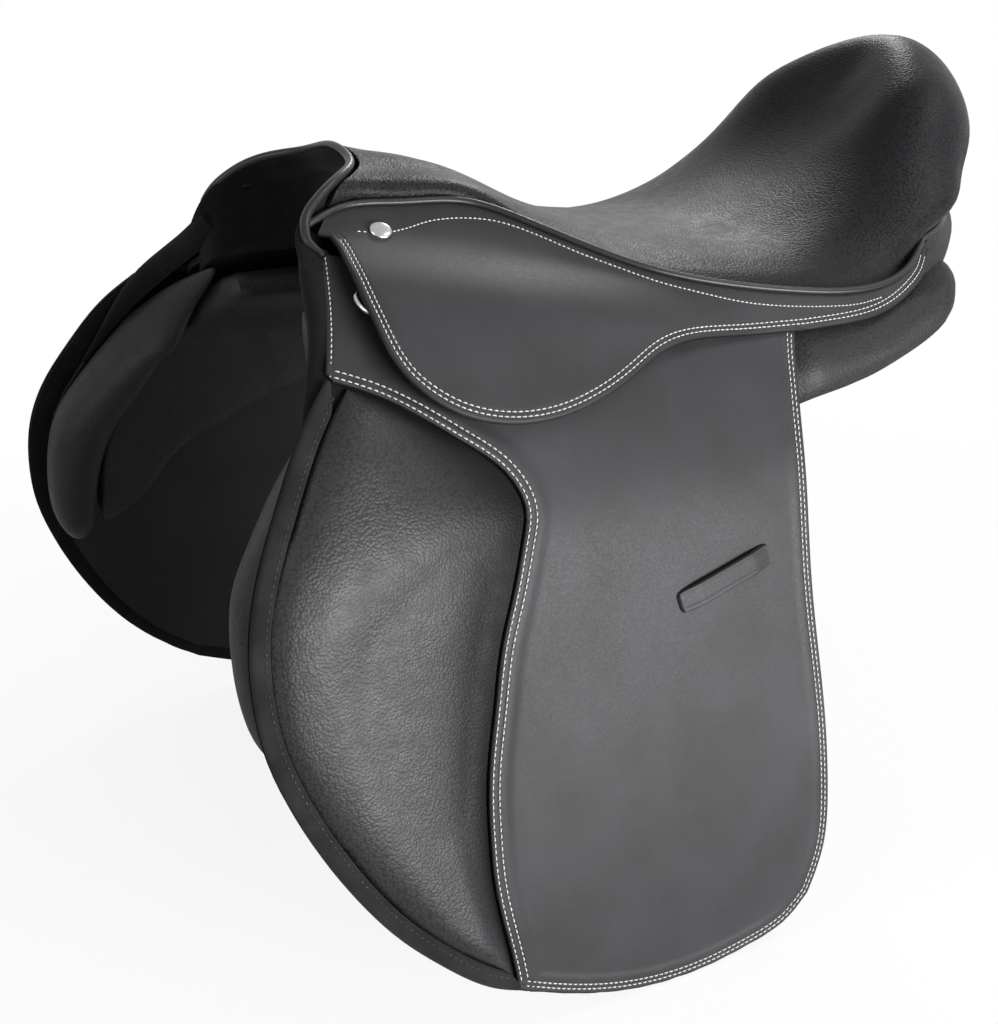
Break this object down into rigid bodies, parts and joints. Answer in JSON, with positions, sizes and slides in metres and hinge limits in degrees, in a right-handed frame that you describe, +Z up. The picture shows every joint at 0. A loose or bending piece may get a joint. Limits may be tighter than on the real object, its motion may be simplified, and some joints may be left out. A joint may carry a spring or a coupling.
{
  "type": "eventing saddle",
  "caption": "Black leather general purpose and jumping saddle with deep seat, forward flaps, padded knee pads, hidden girth straps and stirrup bars.",
  "frame": {"origin": "middle of the horse's back between the two panels, under the seat", "axes": "+X from pommel to cantle, +Z up, the near (left) side at negative Y"},
  "size_m": [0.5598, 0.457, 0.459],
  "materials": {
    "smooth_leather": "matt black, smooth",
    "grained_leather": "soft black, finely pebbled",
    "dark_lining": "near-black suede and lining leather",
    "welt_leather": "black, slight sheen",
    "tree_wood": "laminated, hidden",
    "webbing": "plain woven, hidden",
    "foam": "felt and foam, hidden",
    "bright_steel": "nickel plated",
    "plain_steel": "plain steel"
  },
  "bodies": {
    "saddle": {"tree_shell": "tree_wood", "webbing": "webbing", "gullet_plate": "plain_steel", "arch_lining": "dark_lining", "head_facing": "dark_lining", "arch_screw_left": "plain_steel", "arch_screw_right": "plain_steel", "seat_foam": "foam", "seat_cover": "grained_leather", "seat_welt": "welt_leather", "pommel_piping": "welt_leather", "rear_facing": "dark_lining", "skirt_root_left": "smooth_leather", "sweat_flap_left": "dark_lining", "billet_web_left": "webbing", "point_plate_left": "plain_steel", "stirrup_bar_left": "plain_steel", "catch_pin_left": "plain_steel", "bar_rivet_front_left": "plain_steel", "bar_rivet_rear_left": "plain_steel", "point_pocket_left": "dark_lining", "head_nail_left": "bright_steel", "panel_left": "grained_leather", "knee_roll_left": "grained_leather", "skirt_root_right": "smooth_leather", "sweat_flap_right": "dark_lining", "billet_web_right": "webbing", "point_plate_right": "plain_steel", "stirrup_bar_right": "plain_steel", "catch_pin_right": "plain_steel", "bar_rivet_front_right": "plain_steel", "bar_rivet_rear_right": "plain_steel", "point_pocket_right": "dark_lining", "head_nail_right": "bright_steel", "panel_right": "grained_leather", "knee_roll_right": "grained_leather"},
    "flap_left": {"flap_backing_left": "dark_lining", "flap_face_left": "smooth_leather", "flap_binding_left": "dark_lining", "knee_pad_left": "grained_leather", "leather_keeper_left": "smooth_leather", "ring_tab_left": "smooth_leather"},
    "skirt_left": {"skirt_left": "smooth_leather"},
    "billets_left": {"billet_front_left": "smooth_leather", "billet_middle_left": "smooth_leather", "billet_rear_left": "smooth_leather"},
    "bar_catch_left": {"bar_catch_left": "plain_steel"},
    "d_ring_left": {"d_ring_left": "bright_steel"},
    "flap_right": {"flap_backing_right": "dark_lining", "flap_face_right": "smooth_leather", "flap_binding_right": "dark_lining", "knee_pad_right": "grained_leather", "leather_keeper_right": "smooth_leather", "ring_tab_right": "smooth_leather"},
    "skirt_right": {"skirt_right": "smooth_leather"},
    "billets_right": {"billet_front_right": "smooth_leather", "billet_middle_right": "smooth_leather", "billet_rear_right": "smooth_leather"},
    "bar_catch_right": {"bar_catch_right": "plain_steel"},
    "d_ring_right": {"d_ring_right": "bright_steel"}
  },
  "joints": [
    {"name": "flap_swing_left", "type": "hinge", "parent": "saddle", "child": "flap_left", "pos_m": [-0.2155, -0.07637, 0.12425], "axis": [-0.9293, 0.3007, 0.2144], "range_deg": [0, 70]},
    {"name": "skirt_lift_left", "type": "hinge", "parent": "flap_left", "child": "skirt_left", "pos_m": [-0.2155, -0.07637, 0.12425], "axis": [-0.9293, 0.3007, 0.2144], "range_deg": [0, 60]},
    {"name": "billets_swing_left", "type": "hinge", "parent": "saddle", "child": "billets_left", "pos_m": [-0.073, -0.14741, 0.05505], "axis": [-1, 0, 0], "range_deg": [0, 28]},
    {"name": "bar_catch_turn_left", "type": "hinge", "parent": "saddle", "child": "bar_catch_left", "pos_m": [-0.11861, -0.13822, 0.07685], "axis": [0.0446, -0.4848, 0.8735], "range_deg": [0, 80]},
    {"name": "d_ring_play_left", "type": "hinge", "parent": "flap_left", "child": "d_ring_left", "pos_m": [-0.21148, -0.1093, 0.09925], "axis": [-0.9625, 0.2133, 0.1675], "range_deg": [0, 1.2]},
    {"name": "flap_swing_right", "type": "hinge", "parent": "saddle", "child": "flap_right", "pos_m": [-0.2155, 0.07637, 0.12425], "axis": [0.9293, 0.3007, -0.2144], "range_deg": [0, 70]},
    {"name": "skirt_lift_right", "type": "hinge", "parent": "flap_right", "child": "skirt_right", "pos_m": [-0.2155, 0.07637, 0.12425], "axis": [0.9293, 0.3007, -0.2144], "range_deg": [0, 60]},
    {"name": "billets_swing_right", "type": "hinge", "parent": "saddle", "child": "billets_right", "pos_m": [-0.073, 0.14741, 0.05505], "axis": [1, 0, 0], "range_deg": [0, 28]},
    {"name": "bar_catch_turn_right", "type": "hinge", "parent": "saddle", "child": "bar_catch_right", "pos_m": [-0.11861, 0.13822, 0.07685], "axis": [-0.0446, -0.4848, -0.8735], "range_deg": [0, 80]},
    {"name": "d_ring_play_right", "type": "hinge", "parent": "flap_right", "child": "d_ring_right", "pos_m": [-0.21148, 0.1093, 0.09925], "axis": [0.9625, 0.2133, -0.1675], "range_deg": [0, 1.2]}
  ],
  "couplings": [
    {"joint": "billets_swing_left", "follows": "flap_swing_left", "ratio": 0.4},
    {"joint": "billets_swing_right", "follows": "flap_swing_right", "ratio": 0.4}
  ]
}
